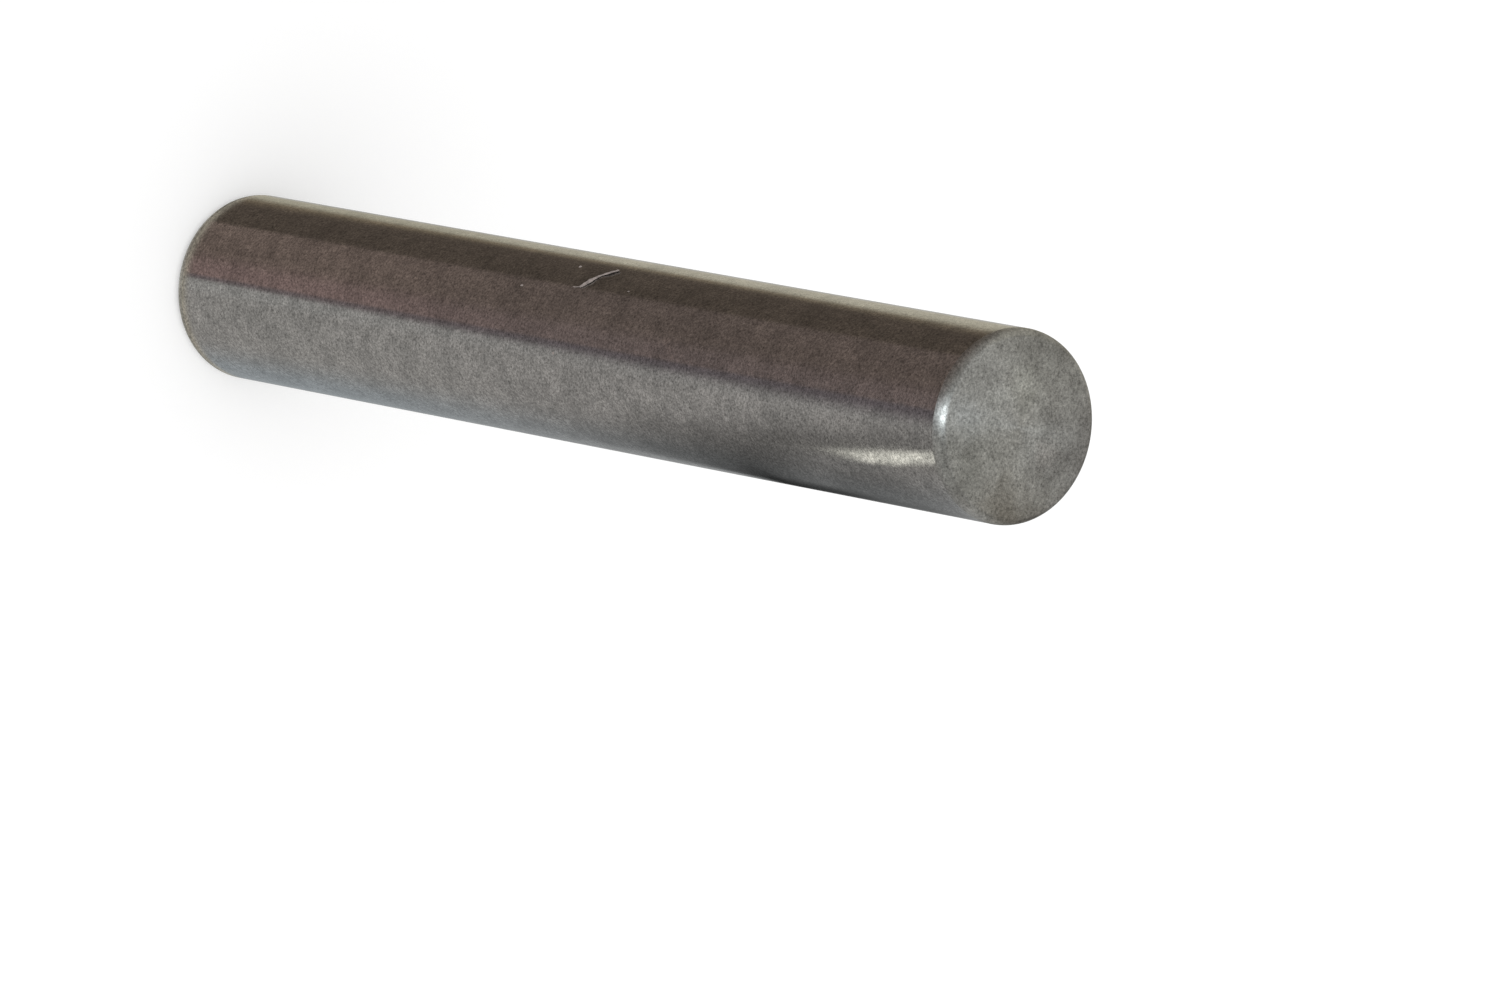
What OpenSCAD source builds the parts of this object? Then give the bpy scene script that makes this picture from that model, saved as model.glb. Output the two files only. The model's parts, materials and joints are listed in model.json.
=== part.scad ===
// Parallel dowel pin: a ground steel cylinder with flat ends and rounded edges.
// It stands on one end face, with its axis on Z and the origin at the centre of that face.

/* [Pin] */
// Diameter of the ground shank
pin_d = 6; // [2:0.5:20]
// Length over both end faces
pin_len = 40; // [6:1:120]

/* [Edges] */
// Radius of the rounded edge round each end face
edge_r = 0.25; // [0.05:0.05:0.8]

/* [Hidden] */
steel = [0.62, 0.61, 0.6];
round_fn = 128;
edge_fn = 48;

// Half of the pin's lengthwise section, from the axis out to the shank.
// A circle in each outer corner rounds the edge and runs smoothly into the shank and the face.
module half_section() {
    pin_r = pin_d / 2;
    face_r = pin_r - edge_r;
    square([face_r, pin_len]);
    translate([0, edge_r])
        square([pin_r, pin_len - 2 * edge_r]);
    for (z = [edge_r, pin_len - edge_r])
        translate([face_r, z])
            circle(r = edge_r, $fn = edge_fn);
}

module pin() {
    color(steel)
        rotate_extrude($fn = round_fn)
            half_section();
}

pin();
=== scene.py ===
"""Dresses a ground steel dowel pin: shank, rounded edges, dull ends, the lint on it, and a studio."""

from __future__ import annotations

import json
import logging
import math
from collections.abc import Callable
from dataclasses import dataclass
from enum import Enum

import bpy
import numpy as np
from mathutils import Matrix, Vector


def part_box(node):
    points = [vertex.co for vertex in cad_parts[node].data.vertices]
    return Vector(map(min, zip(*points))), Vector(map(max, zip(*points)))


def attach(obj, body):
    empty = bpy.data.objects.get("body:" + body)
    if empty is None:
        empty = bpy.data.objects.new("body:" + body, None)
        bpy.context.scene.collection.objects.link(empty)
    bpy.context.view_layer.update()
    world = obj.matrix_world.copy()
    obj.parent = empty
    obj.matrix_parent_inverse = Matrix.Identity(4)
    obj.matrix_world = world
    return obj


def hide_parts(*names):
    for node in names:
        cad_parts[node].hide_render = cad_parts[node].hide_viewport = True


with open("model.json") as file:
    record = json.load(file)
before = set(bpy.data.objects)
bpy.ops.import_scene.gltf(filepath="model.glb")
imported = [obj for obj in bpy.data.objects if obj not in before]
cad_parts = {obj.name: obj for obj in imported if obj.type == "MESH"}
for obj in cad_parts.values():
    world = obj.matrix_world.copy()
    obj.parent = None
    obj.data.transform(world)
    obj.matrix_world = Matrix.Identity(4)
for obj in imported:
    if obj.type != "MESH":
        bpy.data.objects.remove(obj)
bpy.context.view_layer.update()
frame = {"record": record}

LOG = logging.getLogger("dowel_pin")
MM = 0.001
Colour = tuple[float, float, float]
Step = tuple[float, float]
Socket = bpy.types.NodeSocket


# Node trees


class Graph:
    """A node tree that is written as plain calls, each of which adds one node."""

    def __init__(self, tree: bpy.types.NodeTree) -> None:
        """Starts on the empty node tree of a material, a world or a group."""
        self.tree = tree
        tree.nodes.clear()

    def add(self, kind: str, settings: dict | None = None, **inputs) -> bpy.types.Node:
        """Adds a node and fills its inputs.

        Args:
            kind: the node's type name, such as ShaderNodeMath.
            settings: the node's own properties.
            **inputs: socket names, with _ for a space, or i0, i1 for a place in the list.
                A socket is linked, and anything else is set as the socket's value.

        Returns:
            The new node.
        """
        node = self.tree.nodes.new(kind)
        for name, value in (settings or {}).items():
            setattr(node, name, value)
        for name, value in inputs.items():
            place = int(name[1:]) if name[0] == "i" and name[1:].isdigit() else name.replace("_", " ")
            socket = node.inputs[place]
            if isinstance(value, Socket):
                self.tree.links.new(value, socket)
            elif isinstance(value, tuple) and len(value) == 3 and socket.type == "RGBA":
                socket.default_value = (*value, 1.0)
            else:
                socket.default_value = value
        return node

    def math(self, operation: str, *values, clamp: bool = False) -> Socket:
        """Adds a Math node on sockets or numbers, and gives its result's socket."""
        inputs = {f"i{place}": value for place, value in enumerate(values)}
        return self.add("ShaderNodeMath", {"operation": operation, "use_clamp": clamp}, **inputs).outputs[0]

    def step(self, value: Socket, low: float, high: float,
             to_low: float = 0.0, to_high: float = 1.0) -> Socket:
        """Adds a smooth step from one value to another.

        Args:
            value: the socket that is stepped.
            low: where the step starts.
            high: where it ends.
            to_low: the result below the step.
            to_high: the result above it.

        Returns:
            The result's socket.
        """
        node = self.add("ShaderNodeMapRange", {"interpolation_type": "SMOOTHSTEP"}, Value=value,
                        From_Min=low, From_Max=high, To_Min=to_low, To_Max=to_high)
        return node.outputs[0]

    def mix(self, share, low, high, blend: str = "MIX") -> Socket:
        """Mixes two colours, each a tuple or a socket, by the share of the second."""
        settings = {"data_type": "RGBA", "blend_type": blend}
        return self.add("ShaderNodeMix", settings, i0=share, i6=low, i7=high).outputs[2]

    def noise(self, vector: Socket, scale, detail: float = 2.0,
              roughness: float = 0.5) -> Socket:
        """Adds a noise texture, whose value is about 0.5, with its features for each unit."""
        inputs = {"Vector": vector, "Scale": scale, "Detail": detail, "Roughness": roughness}
        return self.add("ShaderNodeTexNoise", **inputs).outputs["Fac"]


def new_material(name: str) -> tuple[bpy.types.Material, Graph]:
    """Makes a material whose node tree is empty.

    Args:
        name: the material's name.

    Returns:
        The material and its graph.
    """
    made = bpy.data.materials.new(name)
    made.use_nodes = True
    return made, Graph(made.node_tree)


VECTOR, NUMBER = "NodeSocketVector", "NodeSocketFloat"


class Effect(Enum):
    """Effects that the finishes share, each a node group with these inputs beside Vector."""

    BLOTCHES = {"Size": NUMBER, "Contrast": NUMBER}
    GRIND_LINES = {"Spacing": NUMBER, "Run": NUMBER}
    GRAIN = {"Size": NUMBER}
    SPOT = {"Centre": VECTOR, "Radius": NUMBER}


class EffectLibrary:
    """Builds each shared node group once, and places it in any material."""

    FINER_BLOTCHES = 3.7
    FINER_BLOTCH_SHARE = 0.33
    FINER_GRAIN = 2.3
    RAGGEDNESS = 0.9

    def __init__(self) -> None:
        """Builds all the groups."""
        shapes = {Effect.BLOTCHES: self._blotches, Effect.GRIND_LINES: self._grind_lines,
                  Effect.GRAIN: self._grain, Effect.SPOT: self._spot}
        self.trees = {effect: self._group(effect, shape) for effect, shape in shapes.items()}

    def place(self, graph: Graph, effect: Effect, **inputs) -> Socket:
        """Puts an effect with these inputs into a material, and gives its result."""
        return graph.add("ShaderNodeGroup", {"node_tree": self.trees[effect]}, **inputs).outputs[0]

    @staticmethod
    def _group(effect: Effect, shape: Callable[[Graph, dict[str, Socket]], Socket]) -> bpy.types.NodeTree:
        """Makes an effect's node group.

        Args:
            effect: the effect, which names the inputs.
            shape: adds the effect's nodes from its inputs, and gives its result.

        Returns:
            The group.
        """
        tree = bpy.data.node_groups.new(effect.name.lower(), "ShaderNodeTree")
        inputs = {"Vector": VECTOR, **effect.value}
        for name, kind in inputs.items():
            tree.interface.new_socket(name, in_out="INPUT", socket_type=kind)
        tree.interface.new_socket("Result", in_out="OUTPUT", socket_type=NUMBER)
        graph = Graph(tree)
        entry = graph.add("NodeGroupInput").outputs
        graph.add("NodeGroupOutput", Result=shape(graph, {name: entry[name] for name in inputs}))
        return tree

    @classmethod
    def _blotches(cls, graph: Graph, entry: dict[str, Socket]) -> Socket:
        """Adds soft cloudy patches: coarse noise with a third of finer noise, spread about its middle.

        Args:
            graph: the group's graph.
            entry: its inputs.

        Returns:
            A mask of 0 in the dark patches and 1 in the light ones.
        """
        scale = graph.math("DIVIDE", 1.0, entry["Size"])
        coarse = graph.noise(entry["Vector"], scale, detail=3.0)
        fine = graph.noise(entry["Vector"], graph.math("MULTIPLY", scale, cls.FINER_BLOTCHES), detail=2.0)
        rest = graph.math("MULTIPLY", coarse, 1 - cls.FINER_BLOTCH_SHARE)
        both = graph.math("MULTIPLY_ADD", fine, cls.FINER_BLOTCH_SHARE, rest)
        spread = graph.math("MULTIPLY", graph.math("SUBTRACT", both, 0.5), entry["Contrast"])
        return graph.math("ADD", spread, 0.5, clamp=True)

    @staticmethod
    def _grind_lines(graph: Graph, entry: dict[str, Socket]) -> Socket:
        """Adds fine rings round the pin's axis: noise that is quick along Z and slow round the pin.

        Args:
            graph: the group's graph.
            entry: its inputs.

        Returns:
            The height, in shares of the line depth.
        """
        across = graph.math("DIVIDE", 1.0, entry["Run"])
        along = graph.math("DIVIDE", 1.0, entry["Spacing"])
        scale = graph.add("ShaderNodeCombineXYZ", X=across, Y=across, Z=along).outputs[0]
        stretched = graph.add("ShaderNodeVectorMath", {"operation": "MULTIPLY"},
                              i0=entry["Vector"], i1=scale).outputs[0]
        return graph.noise(stretched, 1.0, detail=3.0, roughness=0.6)

    @classmethod
    def _grain(cls, graph: Graph, entry: dict[str, Socket]) -> Socket:
        """Adds the even, fine tooth of tumbled steel: equal parts of a coarser and a finer noise.

        Args:
            graph: the group's graph.
            entry: its inputs.

        Returns:
            The height, in shares of the grain's depth.
        """
        scale = graph.math("DIVIDE", 1.0, entry["Size"])
        coarse = graph.noise(entry["Vector"], scale, detail=1.0)
        fine = graph.noise(entry["Vector"], graph.math("MULTIPLY", scale, cls.FINER_GRAIN), detail=1.0)
        return graph.math("MULTIPLY_ADD", fine, 0.5, graph.math("MULTIPLY", coarse, 0.5))

    @classmethod
    def _spot(cls, graph: Graph, entry: dict[str, Socket]) -> Socket:
        """Adds one soft spot, which the finishes use for stains and for painted light and shade: 1 at its
        centre and 0 past its radius, with an uneven rim.

        Args:
            graph: the group's graph.
            entry: its inputs.

        Returns:
            A mask of how much of the spot is there.
        """
        apart = graph.add("ShaderNodeVectorMath", {"operation": "DISTANCE"},
                          i0=entry["Vector"], i1=entry["Centre"]).outputs["Value"]
        share = graph.math("DIVIDE", apart, entry["Radius"])
        noise = graph.noise(entry["Vector"], graph.math("DIVIDE", 2.0, entry["Radius"]), detail=3.0)
        ragged = graph.math("MULTIPLY", graph.math("SUBTRACT", noise, 0.5), cls.RAGGEDNESS)
        return graph.step(graph.math("ADD", share, ragged), 0.0, 1.0, 1.0, 0.0)


# Finishes


@dataclass(frozen=True)
class StainAndPaintedLight:
    """A soft patch of another tone on the steel. The shank's patches are stains; the end face's are stains,
    painted light and painted shade.

    Attributes:
        centre: its middle, in metres in the pin's frame.
        radius: how far it reaches, in metres.
        tone: the colour that it multiplies the steel by.
    """

    centre: tuple[float, float, float]
    radius: float
    tone: Colour


# The pin's sizes by which the spots of stain and of painted light and shade are placed.
PIN_RADIUS_FOR_PATCHES = 3.0 * MM
PIN_LENGTH_FOR_PATCHES = 40.0 * MM


def shank_stain(azimuth: float, height: float, radius: float, tone: Colour) -> StainAndPaintedLight:
    """Places a stain on the shank.

    Args:
        azimuth: the angle from the front, in degrees, positive towards +X.
        height: the height up the pin, in millimetres.
        radius: how far it reaches, in millimetres.
        tone: the colour that it multiplies the steel by.

    Returns:
        The stain.
    """
    turn = math.radians(azimuth)
    out = PIN_RADIUS_FOR_PATCHES
    return StainAndPaintedLight((out * math.sin(turn), -out * math.cos(turn), height * MM), radius * MM, tone)


def face_stain_and_painted_light(down: float, aside: float, radius: float, tone: Colour) -> StainAndPaintedLight:
    """Places a patch of another tone on the upper end face, by its X, its Y and its radius in millimetres;
    the end face's patches are stains, painted light and painted shade.
    """
    return StainAndPaintedLight((down * MM, aside * MM, PIN_LENGTH_FOR_PATCHES), radius * MM, tone)


@dataclass(frozen=True)
class SteelFinish:
    """One way that the pin's steel is finished, with its sizes in metres.

    Attributes:
        name: the material's name.
        light: the colour of the light patches.
        dark: the colour of the dark patches.
        roughness: the mean roughness.
        roughness_spread: how far the patches move it.
        anisotropy: how much the rings stretch a highlight across themselves.
        blotch: the size of the cloudy patches.
        contrast: how strongly the patches stand apart.
        drift: the size of the broad patches under them.
        drift_share: how much of the patches' tone is the broad ones'.
        line_spacing: the distance between grinding lines along the axis.
        line_run: how far a line runs before it fades.
        line_depth: the depth of the lines.
        line_tint: how much darker or lighter a line makes the steel.
        grain: the size of the fine tooth.
        grain_depth: its depth.
        grain_tint: how much darker or lighter the tooth makes the steel.
        wave: the length of the slow waves that bend a reflection.
        wave_depth: their depth.
        stains_and_painted_light: the single patches on it: stains, and on the end face also painted light
            and painted shade.
    """

    name: str
    light: Colour
    dark: Colour
    roughness: float
    roughness_spread: float
    anisotropy: float
    blotch: float
    contrast: float
    drift: float
    drift_share: float
    line_spacing: float
    line_run: float
    line_depth: float
    line_tint: float
    grain: float
    grain_depth: float
    grain_tint: float
    wave: float = 5.0 * MM
    wave_depth: float = 0.0
    stains_and_painted_light: tuple[StainAndPaintedLight, ...] = ()

    def material(self, effects: EffectLibrary) -> bpy.types.Material:
        """Builds the material.

        Args:
            effects: the shared node groups.

        Returns:
            The material.
        """
        made, graph = new_material(self.name)
        place = graph.add("ShaderNodeTexCoord").outputs["Object"]
        small = effects.place(graph, Effect.BLOTCHES, Vector=place, Size=self.blotch, Contrast=self.contrast)
        broad = effects.place(graph, Effect.BLOTCHES, Vector=place, Size=self.drift, Contrast=self.contrast)
        patches = graph.math("MULTIPLY_ADD", graph.math("SUBTRACT", broad, small), self.drift_share, small)
        lines = effects.place(graph, Effect.GRIND_LINES, Vector=place, Spacing=self.line_spacing,
                              Run=self.line_run)
        grain = effects.place(graph, Effect.GRAIN, Vector=place, Size=self.grain)
        colour = graph.mix(patches, self.dark, self.light)
        for height, tint in ((lines, self.line_tint), (grain, self.grain_tint)):
            tone = graph.math("MULTIPLY_ADD", height, 2 * tint, 1 - tint)
            colour = graph.mix(1.0, colour, tone, "MULTIPLY")
        # Each patch multiplies the colour; on the end face the broad ones are painted light and painted
        # shade.
        for stain in self.stains_and_painted_light:
            mask = effects.place(graph, Effect.SPOT, Vector=place, Centre=stain.centre, Radius=stain.radius)
            colour = graph.mix(mask, colour, graph.mix(1.0, colour, stain.tone, "MULTIPLY"))
        roughness = graph.step(patches, 0.0, 1.0, self.roughness + self.roughness_spread,
                               self.roughness - self.roughness_spread)
        normal = self._relief(graph, place, lines, grain)
        tangent = graph.add("ShaderNodeTangent", {"direction_type": "RADIAL", "axis": "Z"}).outputs[0]
        shader = graph.add("ShaderNodeBsdfPrincipled", Base_Color=colour, Metallic=1.0, Roughness=roughness,
                           Anisotropic=self.anisotropy, Anisotropic_Rotation=ACROSS_THE_RINGS,
                           Tangent=tangent, Normal=normal)
        graph.add("ShaderNodeOutputMaterial", Surface=shader.outputs[0])
        return made

    def _relief(self, graph: Graph, place: Socket, lines: Socket,
                grain: Socket) -> Socket:
        """Adds the slow waves, the lines and the grain, each as a bump on the one before.

        Args:
            graph: the material's graph.
            place: the object coordinates.
            lines: the grinding lines' height.
            grain: the fine tooth's height.

        Returns:
            The bumped normal's socket.
        """
        waves = graph.noise(place, 1.0 / self.wave, detail=0.0)
        before = {}
        for depth, height in ((self.wave_depth, waves), (self.line_depth, lines), (self.grain_depth, grain)):
            bump = graph.add("ShaderNodeBump", Distance=depth, Height=height, **before)
            before = {"Normal": bump.outputs[0]}
        return before["Normal"]


# A turn of a quarter lays the highlight's long side along the pin, across the rings of the grinding.
ACROSS_THE_RINGS = 0.25

GROUND_SHANK = SteelFinish(
    name="ground_steel", light=(0.62, 0.612, 0.598), dark=(0.385, 0.384, 0.376),
    roughness=0.125, roughness_spread=0.02, anisotropy=0.5,
    blotch=0.42 * MM, contrast=4.2, drift=1.4 * MM, drift_share=0.5,
    line_spacing=0.10 * MM, line_run=1.2 * MM, line_depth=0.0003 * MM, line_tint=0.10,
    grain=0.085 * MM, grain_depth=0.0003 * MM, grain_tint=1.45,
    wave_depth=0.004 * MM,
    stains_and_painted_light=(
        shank_stain(-12.5, 26.0, 0.22, (1.35, 1.32, 1.3)),
        shank_stain(-8.0, 26.25, 0.2, (1.25, 1.22, 1.2)),
        shank_stain(-3.5, 26.5, 0.2, (1.25, 1.22, 1.2)),
    ))

DULL_END = SteelFinish(
    name="dull_steel", light=(0.543, 0.544, 0.527), dark=(0.35, 0.347, 0.333),
    roughness=0.40, roughness_spread=0.04, anisotropy=0.75,
    blotch=0.8 * MM, contrast=3.1, drift=2.4 * MM, drift_share=0.25,
    line_spacing=0.08 * MM, line_run=0.3 * MM, line_depth=0.0, line_tint=0.0,
    grain=0.085 * MM, grain_depth=0.0018 * MM, grain_tint=1.25,
    stains_and_painted_light=(
        # Small dark spots near the face's middle.
        face_stain_and_painted_light(-0.66, 0.02, 0.42, (0.74, 0.74, 0.73)),
        face_stain_and_painted_light(-1.0, 0.28, 0.34, (0.78, 0.78, 0.77)),
        # Painted light: lighter patches over the face's middle and towards the gleam on its left.
        face_stain_and_painted_light(-0.7, -0.95, 0.9, (1.24, 1.25, 1.25)),
        face_stain_and_painted_light(-1.3, -0.1, 0.9, (1.17, 1.18, 1.16)),
        face_stain_and_painted_light(0.65, 1.2, 0.7, (1.18, 1.16, 1.16)),
        # Two small darker spots.
        face_stain_and_painted_light(0.6, 0.25, 0.8, (0.87, 0.87, 0.87)),
        face_stain_and_painted_light(-0.5, 0.75, 0.6, (0.86, 0.86, 0.86)),
        # Painted highlight: a bluish glow beside the gleam at the left rim.
        face_stain_and_painted_light(0.0, -2.1, 1.0, (1.13, 1.15, 1.18)),
        # Painted shade: broad darker patches towards the right, the top and the bottom, warmer at the
        # bottom.
        face_stain_and_painted_light(0.0, 3.1, 3.2, (0.62, 0.60, 0.595)),
        face_stain_and_painted_light(-2.9, 0.6, 2.2, (0.61, 0.605, 0.60)),
        face_stain_and_painted_light(-1.3, 1.9, 0.8, (0.82, 0.82, 0.82)),
        face_stain_and_painted_light(2.8, 0.2, 2.0, (0.67, 0.635, 0.59)),
        face_stain_and_painted_light(1.9, 1.9, 0.9, (0.81, 0.80, 0.79)),
        face_stain_and_painted_light(1.2, -1.7, 1.9, (0.75, 0.75, 0.735)),
    ))


@dataclass(frozen=True)
class LintFinish:
    """The pale, matt look of cotton lint and dust.

    Attributes:
        name: the material's name.
        light: the colour where it is thick.
        dark: the colour where it is thin and grey with steel dust.
        patch: the size of its patches, in metres.
        contrast: how strongly the patches stand apart.
        grains_per_patch: how many times finer than the patches its tooth is.
        grain_depth: the tooth's depth, in metres.
        roughness: how matt it is.
    """

    name: str = "cotton_lint"
    light: Colour = (0.48, 0.41, 0.38)
    dark: Colour = (0.21, 0.18, 0.165)
    patch: float = 0.12 * MM
    contrast: float = 3.0
    grains_per_patch: float = 6.0
    grain_depth: float = 0.004 * MM
    roughness: float = 0.85

    def material(self, effects: EffectLibrary) -> bpy.types.Material:
        """Builds the material.

        Args:
            effects: the shared node groups.

        Returns:
            The material.
        """
        made, graph = new_material(self.name)
        place = graph.add("ShaderNodeTexCoord").outputs["Object"]
        patches = effects.place(graph, Effect.BLOTCHES, Vector=place, Size=self.patch,
                                Contrast=self.contrast)
        grain = effects.place(graph, Effect.GRAIN, Vector=place, Size=self.patch / self.grains_per_patch)
        normal = graph.add("ShaderNodeBump", Distance=self.grain_depth, Height=grain).outputs[0]
        shader = graph.add("ShaderNodeBsdfPrincipled", Base_Color=graph.mix(patches, self.dark, self.light),
                           Roughness=self.roughness, Normal=normal)
        graph.add("ShaderNodeOutputMaterial", Surface=shader.outputs[0])
        return made


# Meshes


def grid_mesh(name: str, points: np.ndarray) -> bpy.types.Mesh:
    """Makes an open mesh of quads from a grid of points.

    Args:
        name: the mesh's name.
        points: rows by columns by 3, in metres.

    Returns:
        The mesh, smooth all over, with nothing closed across its rims.
    """
    index = np.arange(points.shape[0] * points.shape[1]).reshape(points.shape[:2])
    corners = (index[:-1, :-1], index[:-1, 1:], index[1:, 1:], index[1:, :-1])
    return mesh_of(name, points.reshape(-1, 3), np.stack(corners, axis=-1).reshape(-1, 4).tolist())


def mesh_of(name: str, points: np.ndarray, faces: list) -> bpy.types.Mesh:
    """Makes a smooth mesh from points and faces.

    Args:
        name: the mesh's name.
        points: the corners, in metres.
        faces: the corners' places for each face.

    Returns:
        The mesh.
    """
    made = bpy.data.meshes.new(name)
    made.from_pydata(points, [], faces)
    made.polygons.foreach_set("use_smooth", np.ones(len(made.polygons), dtype=bool))
    made.validate()
    made.update()
    return made


def closed_mesh(name: str, *grids: np.ndarray) -> bpy.types.Mesh:
    """Makes a mesh of closed shells, each from a grid whose first and last row are each one point.

    Args:
        name: the mesh's name.
        *grids: a grid for each shell, rows by columns by 3, in metres.

    Returns:
        The mesh, with a fan of triangles at each end of a shell and quads between.
    """
    corners, faces, count = [], [], 0
    for points in grids:
        rows, columns = points.shape[:2]
        corners += [points[0, :1], points[1:-1].reshape(-1, 3), points[-1, :1]]
        index = count + 1 + np.arange((rows - 2) * columns).reshape(rows - 2, columns)
        after = np.roll(index, -1, axis=1)
        top = index[-1, -1] + 1
        first = np.stack((np.full(columns, count), after[0], index[0]), axis=-1)
        quads = np.stack((index[:-1], after[:-1], after[1:], index[1:]), axis=-1).reshape(-1, 4)
        last = np.stack((np.full(columns, top), index[-1], after[-1]), axis=-1)
        faces += first.tolist() + quads.tolist() + last.tolist()
        count = int(top) + 1
    return mesh_of(name, np.concatenate(corners), faces)


def piece_of(mesh: bpy.types.Mesh) -> bpy.types.Object:
    """Puts a mesh into the scene, at the origin.

    Args:
        mesh: the mesh, which gives the object its name.

    Returns:
        The object.
    """
    made = bpy.data.objects.new(mesh.name, mesh)
    bpy.context.scene.collection.objects.link(made)
    return made


# Curves


def ease(value: np.ndarray, start: float | np.ndarray, over: float | np.ndarray) -> np.ndarray:
    """Eases from 0 at start to 1 after over, by three times the square less twice the cube."""
    share = np.clip((value - start) / over, 0.0, 1.0)
    return share * share * (3 - 2 * share)


def bell(value: np.ndarray, middle: float, width: float) -> np.ndarray:
    """Gives e to the power of less the square of the distance to the middle over the width."""
    return np.exp(-((value - middle) / width) ** 2)


def smooth_through(values: np.ndarray, share: np.ndarray) -> np.ndarray:
    """Reads a smooth curve that passes evenly spaced values.

    Between two values the curve is the cubic whose slope at each is half the difference of its
    two neighbours.

    Args:
        values: the values, at equal steps from share 0 to share 1.
        share: where the curve is read, from 0 to 1.

    Returns:
        The curve's values.
    """
    last = len(values) - 1
    slope = np.gradient(values)
    start = np.clip((share * last).astype(int), 0, last - 1)
    t = share * last - start
    near, far = values[start], values[start + 1]
    return (near * (1 + 2 * t) * (1 - t) ** 2 + far * t * t * (3 - 2 * t)
            + slope[start] * t * (1 - t) ** 2 + slope[start + 1] * t * t * (t - 1))


# The pin


class Zone(Enum):
    """The parts of the pin's surface that have a finish each, by material slot."""

    SHANK = 0
    END = 1


@dataclass
class PinBody:
    """The pin's surface, a lengthwise section turned round the axis, with its sizes in metres.

    Attributes:
        radius: the shank's radius.
        length: the length over both end faces.
        edge_radius: how far the rounded edges reach in from the shank.
        edge_run: how far they reach along it, by the wear of the tumbling.
        dub: how far the tumbling wore the face down where it meets the rounded edge.
        dub_power: the power of the share of the way to the edge by which the face falls.
        around: how many columns go round the pin.
        face_rows: rows from the axis to a rounded edge.
        edge_rows: rows over a rounded edge.
        shank_rows: rows along the shank.
        lead: how far a supporting row lies from each change of curve.
    """

    radius: float
    length: float
    edge_radius: float
    edge_run: float = 0.40 * MM
    dub: float = 0.03 * MM
    dub_power: int = 5
    around: int = 256
    face_rows: int = 28
    edge_rows: int = 16
    shank_rows: int = 60
    lead: float = 0.02 * MM

    @classmethod
    def from_frame(cls) -> PinBody:
        """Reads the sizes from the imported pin: its box, and the shank's length without the edges.

        Returns:
            The pin's body.
        """
        low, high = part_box("pin")
        length = high.z - low.z
        shank = next(mount for mount in frame["record"]["mounts"] if mount["name"] == "shank")
        return cls(radius=shank["dims"]["r_mm"] * MM, length=length,
                   edge_radius=(length - shank["dims"]["length_mm"] * MM) / 2)

    def section(self) -> np.ndarray:
        """Works out the section, from the lower end's centre to the upper end's centre.

        The face falls by the dub times a power of the share of the way to the edge, so it is
        flat in the middle. The edge is a quarter of an ellipse that starts at the slope where
        the face ends and runs on to the shank, a straight line. The upper half mirrors the lower.

        Returns:
            One row for each point, with its distance from the axis and its height.
        """
        steepness = self.dub_power * self.dub / (self.radius - self.edge_radius)
        slope = math.atan(steepness * self.edge_radius / self.edge_run)
        face_radius = self.radius - self.edge_radius * (1 - math.sin(slope))
        face = np.linspace(0.0, face_radius - self.lead, self.face_rows)
        face_up = self.dub * (face / face_radius) ** self.dub_power
        angle = np.linspace(slope, math.pi / 2, self.edge_rows)
        edge_out = self.radius - self.edge_radius * (1 - np.sin(angle))
        edge_up = self.dub + self.edge_run * (math.cos(slope) - np.cos(angle))
        low = edge_up[-1] + self.lead
        shank_up = np.linspace(low, self.length - low, self.shank_rows)
        half_out = np.concatenate([face, edge_out])
        half_up = np.concatenate([face_up, edge_up])
        out = np.concatenate([half_out, np.full_like(shank_up, self.radius), half_out[::-1]])
        up = np.concatenate([half_up, shank_up, self.length - half_up[::-1]])
        return np.stack([out, up], axis=-1)

    def zones(self, rows: int) -> np.ndarray:
        """Gives each ring of faces its zone, from the lower end's centre to the upper end's.

        Args:
            rows: how many rings of faces there are.

        Returns:
            The zones' numbers.
        """
        end = [Zone.END.value] * (self.face_rows + self.edge_rows - 1)
        shank = [Zone.SHANK.value] * (rows - 2 * len(end))
        return np.array(end + shank + end, np.int32)

    def build(self) -> bpy.types.Object:
        """Turns the section round the axis and gives each face its zone.

        A point is (out sin a, -out cos a, up), for the column's angle a from the front.

        Returns:
            The pin's object.
        """
        section = self.section()
        angle = np.linspace(0.0, 2 * math.pi, self.around, endpoint=False)
        out, up = section[:, :1], section[:, 1:]
        points = np.stack([out * np.sin(angle), -out * np.cos(angle), up + 0 * angle], axis=-1)
        mesh = closed_mesh("pin_skin", points)
        mesh.polygons.foreach_set("material_index", np.repeat(self.zones(len(section) - 1), self.around))
        return piece_of(mesh)

    def dress(self, piece: bpy.types.Object, effects: EffectLibrary) -> None:
        """Gives the pin's object its finishes, in the order of the zones."""
        for finish in (GROUND_SHANK, DULL_END):
            piece.data.materials.append(finish.material(effects))

    def on_shank(self, azimuth: np.ndarray, height: np.ndarray, lift: np.ndarray) -> np.ndarray:
        """Finds points on or above the shank.

        Args:
            azimuth: the angle from the front, in degrees, positive towards +X.
            height: the height up the pin.
            lift: the distance out from the shank.

        Returns:
            The points, in metres.
        """
        angle = np.radians(azimuth)
        out = self.radius + lift
        return np.stack([out * np.sin(angle), -out * np.cos(angle), height + 0 * angle], axis=-1)


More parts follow.
